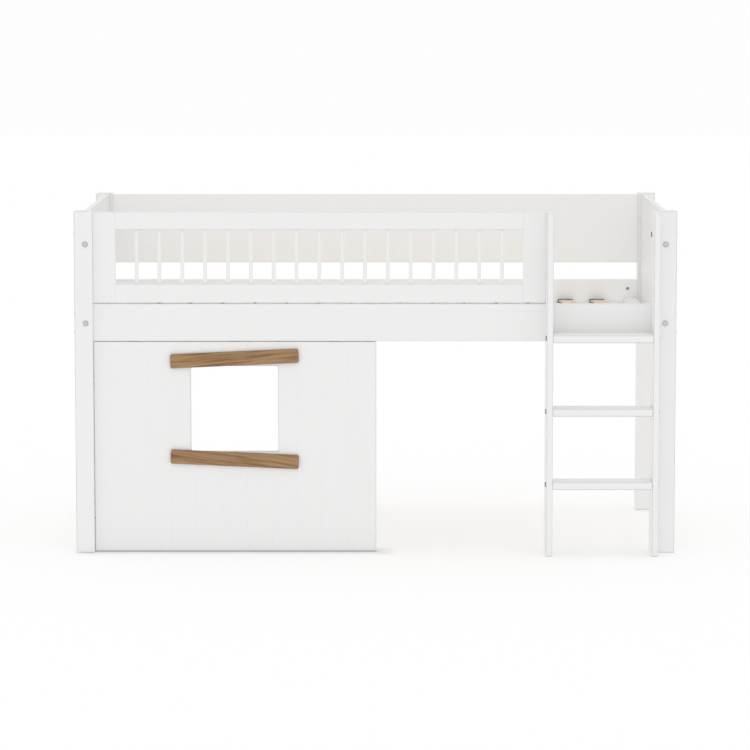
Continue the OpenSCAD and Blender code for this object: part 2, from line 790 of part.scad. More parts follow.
module stile(x0, sx) {
    notch_y = mid_y - face_y - board_t - notch_fit;
    difference() {
        board([x0, stile_front_y, glide_h], [x0 + board_t, stile_back_y, board_top]);
        translate([x0 - cut, notch_y, side_z - notch_fit])
            cube([board_t + 2 * cut, stile_back_y - notch_y + cut, side_h + 2 * notch_fit]);
        at_rung_bolts([sx]) bore(bolt_hole_d, board_t + cut);
        at_rung_dowels([sx]) mirror([0, 0, 1]) dowel_hole(stile_dowel_in);
        at_stile_screws([x0]) pilot(stile_screw_len, board_t);
        at_stile_glides([x0]) glide_hole();
    }
}

module ladder_left_stile() {
    color("white") difference() {
        stile(stile_left_x, -1);
        at_guard_stile_bolts() bore(bolt_hole_d, board_t + cut);
    }
}

module ladder_right_stile() {
    color("white") difference() {
        stile(stile_right_x, 1);
        at_ladder_post_bolt() bore(bolt_hole_d, post_w + board_t + cut);
        at_ladder_post_bolt() translate([0, 0, post_w + board_t - cap_sleeve - hole_spare])
            cylinder(d = cap_sleeve_d + 2 * snug_fit, h = cap_sleeve + hole_spare + cut);
        at_ladder_post_screw() screw_hole(board_t);
    }
}

module rung(z) {
    color("white") difference() {
        board([stile_left_x + board_t, rung_front_y, z],
              [stile_right_x, rung_front_y + rung_depth, z + rung_t], rung_round);
        at_rung_bolts(zs = [z]) bore(bolt_hole_d, stile_hole_len);
        at_rung_nuts([z]) bore(nut_hole_d, rung_t / 2 + nut_len / 2 + hole_spare);
        at_rung_dowels(zs = [z]) dowel_hole(dowel_in);
    }
}

module rung_low() { rung(rung_zs[0]); }
module rung_middle() { rung(rung_zs[1]); }
module rung_top() { rung(rung_zs[2]); }

// ---- cabin panel and laths ----

module cabin_panel() {
    first_x = window_x - (groove_count - 1) / 2 * groove_pitch;
    color("white") difference() {
        board([panel_left_x, panel_front_y, panel_floor_gap],
              [panel_left_x + panel_w, panel_back_y, panel_top]);
        for (i = [0:groove_count - 1]) translate([first_x + i * groove_pitch, panel_front_y, 0])
            linear_extrude(panel_top + cut)
                polygon([[-groove_w / 2 - cut, -2 * cut * groove_deep / groove_w],
                         [groove_w / 2 + cut, -2 * cut * groove_deep / groove_w], [0, groove_deep]]);
        translate([window_x, panel_back_y + cut, (window_z + window_top) / 2])
            rotate([90, 0, 0]) linear_extrude(board_t + 2 * cut)
                rounded_rect(window_w, window_h, window_round);
        at_panel_dowels() mirror([0, 0, 1]) translate([0, 0, panel_gap]) dowel_hole(dowel_in);
        at_lath_screws() screw_hole(board_t);
        at_bracket_panel_screws() pilot(bracket_screw_len, bracket_t);
    }
}

module lath(i) {
    color("peru") difference() {
        translate([window_x, panel_front_y - lath_t / 2, lath_zs[i]]) rotate([0, lath_turn(i), 0])
            intersection() {
                rotate([90, 0, 0]) linear_extrude(lath_t, center = true)
                    rounded_rect(lath_len, lath_h, lath_corner);
                rotate([90, 0, 90]) linear_extrude(lath_len + 2 * cut, center = true)
                    rounded_rect(lath_t, lath_h, board_round);
            }
        at_lath_screws([i]) pilot(lath_screw_len, board_t);
    }
}

module window_lath_lower() { lath(0); }
module window_lath_upper() { lath(1); }

// ---- slatted base ----

module slat_ledger(sy) {
    y0 = mid_y + sy * ledger_y - ledger_t / 2;
    color("white") difference() {
        board([-ledger_len / 2, y0, ledger_top - ledger_h], [ledger_len / 2, y0 + ledger_t, ledger_top]);
        at_side_nuts(sys = [sy]) translate([0, 0, -ledger_t - cut])
            cylinder(d = nut_d + 2 * nut_access, h = ledger_t + 2 * cut);
        at_ledger_screws([sy]) screw_hole(ledger_t);
        at_slat_holders([sy]) bore(peg_d + 2 * snug_fit, peg_len + hole_spare);
        at_rail_screws(sys = [sy]) pilot(rail_screw_len, end_rail_t);
        if (sy < 0) at_bracket_ledger_screws() pilot(bracket_screw_len, bracket_t);
    }
}

module slat_ledger_front() { slat_ledger(-1); }
module slat_ledger_back() { slat_ledger(1); }

// Sprung slat: a flat bar bent to an arc around X, widened by a clearance on all sides
module slat_bar(reach, fit = 0) {
    half_turn = asin(reach / (slat_arc_r + slat_t));
    translate([0, mid_y, slat_arc_z]) rotate([0, 90, 0]) rotate([0, 0, 180 - half_turn])
        rotate_extrude(angle = 2 * half_turn, $fn = 720)
            translate([slat_arc_r + slat_t / 2, 0])
                rounded_rect(slat_t + 2 * fit, slat_w + 2 * fit, slat_round);
}

module bed_slats() {
    color("wheat") for (x = slat_xs) translate([x, 0, 0]) slat_bar(slat_reach);
}

// Caps on the ledgers that hold the ends of the slats, each with a peg
module slat_holders() {
    color("dimgray") {
        difference() {
            at_slat_holders() translate([0, 0, -holder_h / 2])
                rotate([90, 0, 0]) linear_extrude(ledger_t, center = true)
                    rounded_rect(holder_w, holder_h, holder_round);
            for (x = slat_xs) translate([x, 0, 0]) slat_bar(slat_reach + slat_end_gap, slat_fit);
        }
        at_slat_holders() translate([0, 0, -holder_floor / 2])
            cylinder(d = peg_d, h = peg_len + holder_floor / 2);
    }
}

module end_rail(sx) {
    reach = face_y - rail_end_gap;
    x = sx * end_rail_x;
    color("white") difference() {
        board([x - end_rail_w / 2, mid_y - reach, ledger_top],
              [x + end_rail_w / 2, mid_y + reach, ledger_top + end_rail_t]);
        at_rail_screws([sx]) screw_hole(end_rail_t);
    }
}

module end_rail_left() { end_rail(-1); }
module end_rail_right() { end_rail(1); }

// ---- bolts and barrel nuts ----

// Axis of a barrel nut that lies in the middle of a board, seen from its hole
module nut_in_board() {
    translate([0, 0, board_t / 2]) mirror([0, 0, 1]) children();
}

module side_bolts() {
    color("silver") at_side_bolts() bolt(frame_bolt_len);
}

module side_barrel_nuts() {
    color("silver") at_side_nuts() nut_in_board() barrel_nut();
}

module end_panel_bolts() {
    color("silver") at_end_bolts() bolt(frame_bolt_len);
}

module end_panel_barrel_nuts() {
    color("silver") at_end_nuts() nut_in_board() rotate([0, 0, 90]) barrel_nut();
}

module guard_bolts() {
    color("silver") {
        at_back_bolts() bolt(frame_bolt_len);
        at_guard_post_bolt() bolt(frame_bolt_len);
        at_guard_stile_bolts() bolt(stile_bolt_len);
    }
}

module guard_barrel_nuts() {
    color("silver") {
        at_back_nuts() nut_in_board() barrel_nut();
        at_guard_post_nut() nut_in_board() barrel_nut();
        at_guard_stile_nuts() nut_in_board() barrel_nut();
    }
}

module rung_bolts() {
    color("silver") at_rung_bolts() bolt(stile_bolt_len);
}

module rung_barrel_nuts() {
    color("silver") at_rung_nuts() translate([0, 0, rung_t / 2]) mirror([0, 0, 1]) barrel_nut();
}

module ladder_post_bolt() {
    color("silver") at_ladder_post_bolt() bolt(post_w + board_t - hole_spare);
}

// Cap nut on the inner face of the right stile, screwed over the end of the bolt
module ladder_cap_nut() {
    edge = bolt_head_h / 3;
    r = bolt_head_d / 2;
    s = cap_sleeve_d / 2;
    color("silver") at_ladder_post_bolt() translate([0, 0, post_w + board_t]) difference() {
        rotate_extrude() polygon([
            [0, -cap_sleeve], [s, -cap_sleeve], [s, 0], [r, 0],
            [r, bolt_head_h - edge], [r - edge, bolt_head_h], [0, bolt_head_h]
        ]);
        translate([0, 0, -cap_sleeve]) bore(bolt_d + 2 * snug_fit, cap_sleeve);
        translate([0, 0, bolt_head_h - socket_deep])
            cylinder(d = socket_w / cos(30), h = socket_deep + cut, $fn = 6);
    }
}

// ---- screws and dowels ----

module ladder_post_screw() {
    color("silver") at_ladder_post_screw() wood_screw(stile_screw_len);
}

module stile_screws() {
    color("silver") at_stile_screws() wood_screw(stile_screw_len);
}

module ledger_screws() {
    color("silver") at_ledger_screws() wood_screw(ledger_screw_len);
}

module end_rail_screws() {
    color("silver") at_rail_screws() wood_screw(rail_screw_len);
}

module lath_screws() {
    color("silver") at_lath_screws() wood_screw(lath_screw_len);
}

module guard_post_dowel() {
    color("tan") at_guard_dowel() dowel(dowel_in, dowel_in);
}

module guard_frame_dowels() {
    color("tan") at_frame_dowels() dowel(dowel_in, dowel_in);
}

module rung_dowels() {
    color("tan") at_rung_dowels() dowel(stile_dowel_in, dowel_in);
}

module panel_dowels() {
    color("tan") at_panel_dowels() dowel(dowel_in + panel_gap, dowel_in);
}

// ---- brackets under the ledger that hold the top of the cabin panel ----

module bracket_blanks() {
    for (x = bracket_xs) translate([x - bracket_w / 2, panel_back_y, bracket_top]) {
        translate([0, 0, -bracket_drop]) cube([bracket_w, bracket_t, bracket_drop]);
        translate([0, 0, -bracket_t]) cube([bracket_w, bracket_reach, bracket_t]);
    }
}

module panel_brackets() {
    color("gainsboro") difference() {
        bracket_blanks();
        at_bracket_panel_screws() bore(screw_hole_d, bracket_t + cut);
        at_bracket_ledger_screws() bore(screw_hole_d, bracket_t + cut);
    }
}

// Pan-headed screw: the underside of the head lies at the origin
module pan_screw(len) {
    r = screw_d / 2;
    head = screw_head_d / 2;
    rotate_extrude() polygon([
        [0, -r], [head * 0.6, -r], [head, -r / 3], [head, 0], [r, 0], [r, len - tip_len], [0, len]
    ]);
}

module bracket_screws() {
    color("silver") {
        at_bracket_panel_screws() pan_screw(bracket_screw_len);
        at_bracket_ledger_screws() pan_screw(bracket_screw_len);
    }
}

// ---- leg joints and glides ----

module leg_studs() {
    color("silver") at_leg_joints() cylinder(d = stud_d, h = 2 * stud_in, center = true);
}

module leg_insert_nuts() {
    color("goldenrod") at_leg_joints() for (up = [0, 1]) mirror([0, 0, up]) difference() {
        cylinder(d = insert_d, h = insert_len);
        bore(stud_d + 2 * snug_fit, insert_len + cut);
    }
}

module leg_dowels() {
    color("tan") at_leg_dowels() dowel(dowel_in, dowel_in);
}

module glide() {
    edge = glide_h / 4;
    rotate_extrude() polygon([
        [0, 0], [glide_d / 2 - edge, 0], [glide_d / 2, edge], [glide_d / 2, glide_h],
        [glide_nail_d / 2, glide_h], [glide_nail_d / 2, glide_nail_len - glide_nail_d], [0, glide_nail_len]
    ]);
}

module glide_hole() {
    translate([0, 0, glide_h - cut])
        cylinder(d = glide_nail_d + 2 * snug_fit, h = glide_nail_len - glide_h + cut + hole_spare);
}

module foot_glides() {
    color("dimgray") {
        at_leg_glides() glide();
        at_stile_glides() glide();
    }
}

post_front_left();
post_front_right();
post_back_left();
post_back_right();
leg_front_left();
leg_front_right();
leg_back_left();
leg_back_right();
end_panel_left();
end_panel_right();
bed_side_front();
bed_side_back();
guard_top_rail();
guard_bottom_rail();
guard_end_left();
guard_end_right();
guard_bars();
back_guard_board();
ladder_left_stile();
ladder_right_stile();
rung_low();
rung_middle();
rung_top();
cabin_panel();
window_lath_upper();
window_lath_lower();
slat_ledger_front();
slat_ledger_back();
slat_holders();
bed_slats();
end_rail_left();
end_rail_right();
side_bolts();
side_barrel_nuts();
end_panel_bolts();
end_panel_barrel_nuts();
guard_bolts();
guard_barrel_nuts();
guard_post_dowel();
guard_frame_dowels();
ladder_post_bolt();
ladder_cap_nut();
ladder_post_screw();
rung_bolts();
rung_barrel_nuts();
rung_dowels();
stile_screws();
ledger_screws();
end_rail_screws();
panel_brackets();
bracket_screws();
panel_dowels();
lath_screws();
leg_studs();
leg_insert_nuts();
leg_dowels();
foot_glides();
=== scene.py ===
import math
import bpy
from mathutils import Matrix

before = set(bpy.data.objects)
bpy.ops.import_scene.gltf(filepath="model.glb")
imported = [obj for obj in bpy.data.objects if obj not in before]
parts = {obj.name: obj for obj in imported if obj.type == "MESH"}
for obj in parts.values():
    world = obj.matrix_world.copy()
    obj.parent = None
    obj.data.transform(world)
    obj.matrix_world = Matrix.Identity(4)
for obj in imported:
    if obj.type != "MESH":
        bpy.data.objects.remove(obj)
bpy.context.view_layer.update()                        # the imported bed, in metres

print("bed loaded,", len(parts), "parts")


class Wire:
    # one socket of a material; a sum written on it adds the nodes for that sum
    def __init__(self, socket):
        self.socket = socket

    def node(self, kind, settings=None, values=None, outlet=0):
        made = self.socket.id_data.nodes.new(kind)
        for name, setting in (settings or {}).items():
            setattr(made, name, setting)
        for name, value in (values or {}).items():
            if isinstance(value, Wire):
                made.id_data.links.new(value.socket, made.inputs[name])
            else:
                made.inputs[name].default_value = value
        return Wire(made.outputs[outlet])

    def maths(self, operation, *values):
        # vector maths as soon as one of the values is a vector
        isVector = any(value.socket.type == "VECTOR" if isinstance(value, Wire) else isinstance(value, tuple)
                       for value in values)
        if isVector:
            values = [value if isinstance(value, (tuple, Wire)) else (value,) * 3 for value in values]
        kind = "ShaderNodeVectorMath" if isVector else "ShaderNodeMath"
        return self.node(kind, {"operation": operation}, dict(enumerate(values)))

    def __add__(self, other): return self.maths("ADD", self, other)
    def __radd__(self, other): return self.maths("ADD", other, self)
    def __sub__(self, other): return self.maths("SUBTRACT", self, other)
    def __rsub__(self, other): return self.maths("SUBTRACT", other, self)
    def __mul__(self, other): return self.maths("MULTIPLY", self, other)
    def __rmul__(self, other): return self.maths("MULTIPLY", other, self)
    def __truediv__(self, other): return self.maths("DIVIDE", self, other)
    def __mod__(self, other): return self.maths("MODULO", self, other)
    def __pow__(self, other): return self.maths("POWER", self, other)
    def __abs__(self): return self.maths("ABSOLUTE", self)
    def least(self, other): return self.maths("MINIMUM", self, other)
    def most(self, other): return self.maths("MAXIMUM", self, other)
    def whole(self): return self.maths("FLOOR", self)
    def over(self, limit): return self.maths("GREATER_THAN", self, limit)
    def under(self, limit): return self.maths("LESS_THAN", self, limit)

    def axes(self):
        split = self.node("ShaderNodeSeparateXYZ", values={0: self}).socket.node
        return [Wire(outlet) for outlet in split.outputs]

    def joined(self, x, y, z):
        return self.node("ShaderNodeCombineXYZ", values={0: x, 1: y, 2: z})

    def fade(self, low, high, first=0.0, last=1.0):
        # goes smoothly from the first to the last as this value goes from low to high
        settings = {"interpolation_type": "SMOOTHSTEP"}
        return self.node("ShaderNodeMapRange", settings, {0: self, 1: low, 2: high, 3: first, 4: last})

    def between(self, span):
        # goes through the span as this value goes from 0 to 1
        low, high = span
        return low + (high - low) * self

    def noise(self, size, detail=2.0, roughness=0.5, distortion=0.0, seed=0.0):
        values = {"Vector": self, "W": seed, "Scale": 1 / size, "Detail": detail, "Roughness": roughness,
                  "Distortion": distortion}
        return self.node("ShaderNodeTexNoise", {"noise_dimensions": "4D"}, values)

    def tint(self, first, last):
        # colour that goes from the first to the last as this value goes from 0 to 1
        shades = {i: (*c, 1.0) if isinstance(c, tuple) else c for i, c in ((6, first), (7, last))}
        return self.node("ShaderNodeMix", {"data_type": "RGBA"}, {0: self, **shades}, 2)

    def bump(self):
        # this value is a height in metres
        return self.node("ShaderNodeBump", values={"Height": self, "Distance": 1.0, "Strength": 1.0})


def shade(colour, factor):
    return tuple(channel * factor for channel in colour)


def makeFinish(name, uniform, build):
    # uniform numbers sit on the shader's own sockets, and build(place) returns what varies
    material = bpy.data.materials.new(name)
    material.use_nodes = True
    tree = material.node_tree
    shader = tree.nodes["Principled BSDF"]
    for socket, value in uniform.items():
        shader.inputs[socket].default_value = value
    place = Wire(tree.nodes.new("ShaderNodeTexCoord").outputs["Object"])
    for socket, wire in build(place).items():
        tree.links.new(wire.socket, shader.inputs[socket])
    return material


def dress(material, *names):
    for name in names:
        slots = parts[name].material_slots
        if not slots:
            parts[name].data.materials.append(material)
        for slot in slots:
            slot.material = material


def facing(place):
    # the direction in which the surface faces
    return Wire(place.socket.node.outputs["Normal"])


def turned(place, along):
    # coordinates with the grain as the first axis
    x, y, z = place.axes()
    return {"x": (x, y, z), "y": (y, x, z), "z": (z, x, y)}[along]


# white satin lacquer, sprayed over smooth wood

lacquer = {
    "ior": 1.5,
    "colour": (0.94, 0.94, 0.936),
    "thinTone": 0.988,                   # where the coat lies a little thinner
    "roughness": (0.36, 0.46),
    "cloudSize": 0.35,
    "cloudSpan": (0.3, 0.7),
    "cloudShare": 0.6,
    "fibreSize": (0.24, 0.0035),         # length and width of the faint fibres under the coat
    "fibreBend": 0.4,
    "fibreShare": 0.4,
    "fibreDepth": 0.00004,
    "stippleSize": 0.0016,
    "stippleShare": 0.5,                 # of the roughness; the clouds have the rest
    "stippleDepth": 0.000028,
    "panelFibres": 0.25,                 # the cabin panel is fibreboard, so hardly any fibres show
    "edgeShadeTone": 0.73,                    # painted shade on the rounded edges
    "upperEdgeShadeTone": 0.86,
    "upwards": (0.1, 0.5),               # how much an edge faces up, from edgeShadeTone to the lighter painted shade of upperEdgeShadeTone
    "edgeRoughness": 0.06,
}

# painted shade darkens the rounded edges, apart from those beside a neighbouring part, which are left out
edges = {
    "squareness": (0.955, 0.997),        # how squarely a surface faces an axis, from full painted edge shade to none
    "inwards": -0.1,                     # what faces the middle of the bed more than this gets no painted edge shade
    "sideways": 0.1,                     # what faces its neighbour more than this gets no painted edge shade
    "undersideTop": 0.9,                 # height
    # how much of the painted edge shade the guard's underside loses
    "undersideShadeCut": 0.6,
}

bars = {
    "ends": (0.951, 1.143),              # heights at which the bars enter the guard's rails
    "endShadeReach": 0.01,
    "endShadeShare": 0.4,
}

panel = {
    "window": ((-0.496, 0.51025), (0.154, 0.15175)),     # middle and half size, each as x and z
    "rightEdge": 0.003,                  # the free edge beside the ladder
    "rimWidth": 0.0026,
    "rimCore": 0.6,                      # share of the rim whose painted shade is at full strength
    "grooveFacing": 0.832,               # how much the groove walls face the front
    "grooveSpread": 0.02,
    "postSide": -0.1,                    # what faces the left post more than this gets no painted edge shade
}


def shadedBarEnds(place):
    # round all over, so it gets no painted edge shade, only painted shade near both ends where it enters the
    # rails
    z = place.axes()[2]
    (low, high), reach, share = bars["ends"], bars["endShadeReach"], bars["endShadeShare"]
    return z.fade(low, low + reach, share, 0.0) + z.fade(high - reach, high, 0.0, share)


def shadedEdge(place):
    x, y, z = facing(place).axes()
    return abs(x).most(abs(y)).most(abs(z)).fade(*edges["squareness"], 1.0, 0.0)


def shadedPostEdge(place):
    # the edges towards the boards get no painted edge shade
    return shadedEdge(place) * (1 - (place * facing(place)).axes()[0].under(edges["inwards"]))


def shadedLongEdge(place):
    # the ends butt against posts and stiles, and get no painted edge shade there
    return shadedEdge(place) * abs(facing(place).axes()[0]).under(edges["sideways"])


def shadedCrossEdge(place):
    return shadedEdge(place) * abs(facing(place).axes()[1]).under(edges["sideways"])


def shadedGuardEdge(place):
    # the frame is glued up before it is sprayed, so its joints get no painted edge shade and don't show, and
    # its underside gets less
    isUnderside = place.axes()[2].under(edges["undersideTop"])
    return shadedLongEdge(place) * (1 - isUnderside * edges["undersideShadeCut"])


def shadedPanelEdge(place):
    # painted edge shade, left off the grooves, with painted shade added along the rims of the window and of
    # the free edge
    sideways, ahead, up = facing(place).axes()
    isGroove = abs(abs(ahead) - panel["grooveFacing"]).under(panel["grooveSpread"])
    isAtPost = sideways.under(panel["postSide"])
    x, y, z = place.axes()
    (middleX, middleZ), (halfX, halfZ) = panel["window"]
    gap = (abs(x - middleX) - halfX).most(abs(z - middleZ) - halfZ).least(panel["rightEdge"] - x)
    rimShade = gap.fade(panel["rimWidth"] * panel["rimCore"], panel["rimWidth"], 1.0, 0.0)
    return (shadedEdge(place) * (1 - isGroove) * (1 - isAtPost)).most(rimShade)


def buildLacquer(place, along, edgeShadeMask, fibres):
    long, wide, deep = turned(place, along)
    cloud = place.noise(lacquer["cloudSize"], detail=3.0)
    stipple = place.noise(lacquer["stippleSize"], roughness=0.6)
    length, width = lacquer["fibreSize"]
    run = place.joined(long * (width / length), wide, deep)
    fibre = run.noise(width, detail=3.0, roughness=0.6, distortion=lacquer["fibreBend"])
    height = stipple * lacquer["stippleDepth"] + fibre * (lacquer["fibreDepth"] * fibres)
    cloudiness = cloud.fade(*lacquer["cloudSpan"]) * lacquer["cloudShare"]
    tone = cloudiness + fibre * (lacquer["fibreShare"] * fibres)
    face = tone.tint(shade(lacquer["colour"], lacquer["thinTone"]), lacquer["colour"])
    edge = edgeShadeMask(place)
    lower, upper = [shade(lacquer["colour"], lacquer[name]) for name in ("edgeShadeTone", "upperEdgeShadeTone")]
    # painted shade on the rounded edges, lighter where an edge faces up
    edgeShadeColour = facing(place).axes()[2].fade(*lacquer["upwards"]).tint(lower, upper)
    dullness = stipple * lacquer["stippleShare"] + cloud * (1 - lacquer["stippleShare"])
    return {
        "Base Color": edge.tint(face, edgeShadeColour),
        "Roughness": dullness.between(lacquer["roughness"]) + edge * lacquer["edgeRoughness"],
        "Normal": height.bump(),
    }


lacquered = [
    # finish, direction of the fibres, where painted edge shade falls, how much the fibres show, pieces
    ("whiteLacquerLong", "x", shadedLongEdge, 1.0, (
        "bed_side_front", "bed_side_back", "back_guard_board", "rung_low", "rung_middle", "rung_top",
        "slat_ledger_front", "slat_ledger_back")),
    ("whiteLacquerUpright", "z", shadedEdge, 1.0, ("ladder_left_stile", "ladder_right_stile")),
    ("whiteLacquerCross", "y", shadedCrossEdge, 1.0, (
        "end_panel_left", "end_panel_right", "end_rail_left", "end_rail_right")),
    ("whiteLacquerPosts", "z", shadedPostEdge, 1.0, (
        "post_front_left", "post_front_right", "post_back_left", "post_back_right",
        "leg_front_left", "leg_front_right", "leg_back_left", "leg_back_right")),
    ("whiteLacquerGuardRails", "x", shadedGuardEdge, 1.0, ("guard_top_rail", "guard_bottom_rail")),
    ("whiteLacquerGuardEnds", "z", shadedGuardEdge, 1.0, ("guard_end_left", "guard_end_right")),
    ("whiteLacquerBars", "z", shadedBarEnds, 1.0, ("guard_bars",)),
    ("whiteLacquerPanel", "z", shadedPanelEdge, lacquer["panelFibres"], ("cabin_panel",)),
]
for finish, *facts, names in lacquered:
    dress(makeFinish(finish, {"IOR": lacquer["ior"]}, lambda place: buildLacquer(place, *facts)), *names)
print("white lacquer on the boards, posts, guard, ladder and panel")


# oiled oak of the two laths, with broad streaks that run at a slope of their own on each lath

oak = {
    "ior": 1.45,
    "light": (0.430, 0.262, 0.127),
    "middle": (0.346, 0.199, 0.092),
    "dark": (0.214, 0.104, 0.040),
    "middleX": -0.496,
    "bend": 0.011,                       # how far the grain wanders
    "throughSlope": 0.5,                 # how fast it shifts from the front to the back of the lath
    "streakSpan": (0.4, 0.68),
    "streakShare": 0.62,
    "fineSpan": (0.3, 0.75),
    "fineShare": 0.3,
    "fineDepth": 0.00004,
    "broadSpan": (0.35, 0.65),
    "broadShare": 0.22,
    "middleSpan": (0.05, 0.6),           # tone that turns light into middle
    "darkSpan": (0.5, 1.05),             # and middle into dark
    "poreSpan": (0.6, 0.72),
    "poreShare": 0.45,
    "poreTone": 0.75,
    "poreDepth": 0.00012,
    "roughness": (0.42, 0.62),
    "poreRoughness": 0.6,                # share of the roughness; the fine grain has the rest
    "edgeFacing": (0.75, 0.98),
    "edgeShare": 0.8,
    "edgeShadeTone": 1.15,                    # painted shade on the rounded edges, a little lighter than the dark streaks
}
oakLayers = {
    # stretch along the lath and through it, size, detail, roughness, step of the seed
    "bend": (0.1, 1.0, 0.05, 2.0, 0.5, 0),
    "streak": (0.045, 0.3, 0.0068, 2.0, 0.5, 3),
    "fine": (0.03, 1.0, 0.0021, 3.0, 0.6, 5),
    "pore": (0.0275, 1.0, 0.00055, 1.0, 0.5, 7),
    "broad": (0.35, 1.0, 0.06, 1.0, 0.5, 11),
}
laths = [
    # node, finish, height of the middle, degrees of tilt, slope of the streaks on the lath, seed
    ("window_lath_upper", "oakUpper", 0.689, 2.56, 0.058, 2.3),
    ("window_lath_lower", "oakLower", 0.3315, -2.56, -0.082, 8.1),
]


def buildOak(place, middleZ, tilt, slope, seed):
    turn = math.radians(tilt)
    x, y, z = (place - (oak["middleX"], 0.0, middleZ)).axes()
    long = x * math.cos(turn) + z * math.sin(turn)
    high = z * math.cos(turn) - x * math.sin(turn)

    def layer(name, height):
        lengthways, through, size, detail, roughness, step = oakLayers[name]
        run = place.joined(long * lengthways, y * through, height)
        return run.noise(size, detail, roughness, seed=seed + step)

    across = high - long * slope + (layer("bend", high) - 0.5) * oak["bend"] + y * oak["throughSlope"]
    fine = layer("fine", across)
    pore = layer("pore", across).fade(*oak["poreSpan"])
    tone = (layer("streak", across).fade(*oak["streakSpan"]) * oak["streakShare"]
            + fine.fade(*oak["fineSpan"]) * oak["fineShare"]
            + layer("broad", high).fade(*oak["broadSpan"]) * oak["broadShare"])
    grain = tone.fade(*oak["middleSpan"]).tint(oak["light"], oak["middle"])
    grain = tone.fade(*oak["darkSpan"]).tint(grain, oak["dark"])
    grain = (pore * oak["poreShare"]).tint(grain, shade(oak["dark"], oak["poreTone"]))
    # painted shade along the rounded edges of the lath
    edge = abs(facing(place).axes()[1]).fade(*oak["edgeFacing"], 1.0, 0.0)
    dullness = pore * oak["poreRoughness"] + fine * (1 - oak["poreRoughness"])
    return {
        "Base Color": (edge * oak["edgeShare"]).tint(grain, shade(oak["dark"], oak["edgeShadeTone"])),
        "Roughness": dullness.between(oak["roughness"]),
        "Normal": (fine * oak["fineDepth"] - pore * oak["poreDepth"]).bump(),
    }


for name, finish, *facts in laths:
    dress(makeFinish(finish, {"IOR": oak["ior"]}, lambda place: buildOak(place, *facts)), name)
print("oak on the laths")


# glued birch of the sprung slats: plies on the narrow edges, fine grain along the slat

birch = {
    "ior": 1.45,
    "light": (0.83, 0.71, 0.555),
    "dark": (0.72, 0.575, 0.41),
    "heart": (0.60, 0.43, 0.27),
    "glue": (0.40, 0.27, 0.16),
    "pitch": 0.12,                       # distance from slat to slat
    "middleY": 0.0385,
    "arcRadius": 4.3517,                 # underside of the bent slats
    "arcZ": -3.5315,
    "thickness": 0.008,
    "plies": 5,
    "grainSpan": (0.3, 0.75),
    "grainShare": 0.45,
    "grainDepth": 0.00005,
    "flameSpan": (0.4, 0.7),
    "flameShare": 0.35,
    "ownShare": 0.3,                     # how much each slat's own tone counts
    "fleckSpan": (0.66, 0.74),
    "fleckShare": 0.5,
    "crossPlyShare": 0.75,               # every second ply shows its end grain
    "glueReach": (0.40, 0.5),            # from the middle of a ply, in plies
    "glueShare": 0.7,
    "glueDepth": 0.00008,
    "edgeFacing": (0.55, 0.85),
    "roughness": (0.5, 0.64),
}
birchLayers = [
    # stretch along the slat, size, detail, roughness, distortion, how far each slat's own number moves it
    (0.02, 0.0016, 3.0, 0.6, 0.3, 9.0),  # grain
    (0.07, 0.014, 2.0, 0.5, 0.6, 23.0),  # flame
    (0.12, 0.0011, 1.0, 0.5, 0.0, 5.0),  # flecks
]


def buildBirch(place):
    x, y, z = place.axes()
    slat = ((x + birch["pitch"] / 2) / birch["pitch"]).whole()
    own = place.node("ShaderNodeTexWhiteNoise", {"noise_dimensions": "1D"}, {"W": slat}, "Value")
    grain, flame, fleck = [
        place.joined(x, y * stretch, z).noise(size, detail, roughness, distortion, own * step)
        for stretch, size, detail, roughness, distortion, step in birchLayers]
    fleck = fleck.fade(*birch["fleckSpan"])
    up = z - birch["arcZ"]
    across = y - birch["middleY"]
    radius = (across * across + up * up) ** 0.5
    ply = (radius - birch["arcRadius"]) / (birch["thickness"] / birch["plies"])
    isCrosswise = (ply.whole() % 2.0).over(0.5)
    glue = 1 - abs((ply % 1.0) - 0.5).fade(*birch["glueReach"], 1.0, 0.0)
    edge = abs(facing(place).axes()[0]).fade(*birch["edgeFacing"])
    tone = (grain.fade(*birch["grainSpan"]) * birch["grainShare"]
            + flame.fade(*birch["flameSpan"]) * birch["flameShare"]
            + own * birch["ownShare"]).least(1.0)
    face = tone.tint(birch["light"], birch["dark"])
    face = (fleck * birch["fleckShare"]).tint(face, birch["heart"])
    plies = (isCrosswise * birch["crossPlyShare"]).tint(face, birch["heart"])
    plies = (glue * birch["glueShare"]).tint(plies, birch["glue"])
    return {
        "Base Color": edge.tint(face, plies),
        "Roughness": grain.between(birch["roughness"]),
        "Normal": (grain * birch["grainDepth"] - glue * edge * birch["glueDepth"]).bump(),
    }


dress(makeFinish("birchPly", {"IOR": birch["ior"]}, buildBirch), "bed_slats")


# moulded caps that hold the slat ends

caps = {
    "ior": 1.48,
    "colour": (0.135, 0.118, 0.104),
    "dull": (0.175, 0.158, 0.143),
    "roughness": (0.48, 0.62),
    "flowSize": 0.03,
    "flowBend": 0.8,
    "flowSpan": (0.35, 0.7),
    "flowShare": 0.6,                    # of the tone; the grain has the rest
    "grainSize": 0.0007,
    "grainDepth": 0.00005,
}


def buildCaps(place):
    grain = place.noise(caps["grainSize"], roughness=0.6)
    flow = place.noise(caps["flowSize"], distortion=caps["flowBend"]).fade(*caps["flowSpan"])
    tone = flow * caps["flowShare"] + grain * (1 - caps["flowShare"])
    return {
        "Base Color": tone.tint(caps["colour"], caps["dull"]),
        "Roughness": grain.between(caps["roughness"]),
        "Normal": (grain * caps["grainDepth"]).bump(),
    }


dress(makeFinish("brownCaps", {"IOR": caps["ior"]}, buildCaps), "slat_holders")
print("birch slats in their brown caps")


# beech dowels

beech = {
    "ior": 1.45,
    "light": (0.63, 0.42, 0.25),
    "dark": (0.50, 0.30, 0.16),
    "grainStretch": 0.05,
    "grainSize": 0.0015,
    "fleckSize": (0.003, 0.0003),        # length and width
    "fleckSpan": (0.55, 0.7),
    "fleckShare": 0.5,                   # of the tone; the grain has the rest
    "fleckDepth": 0.00003,
    "roughness": (0.55, 0.7),
}


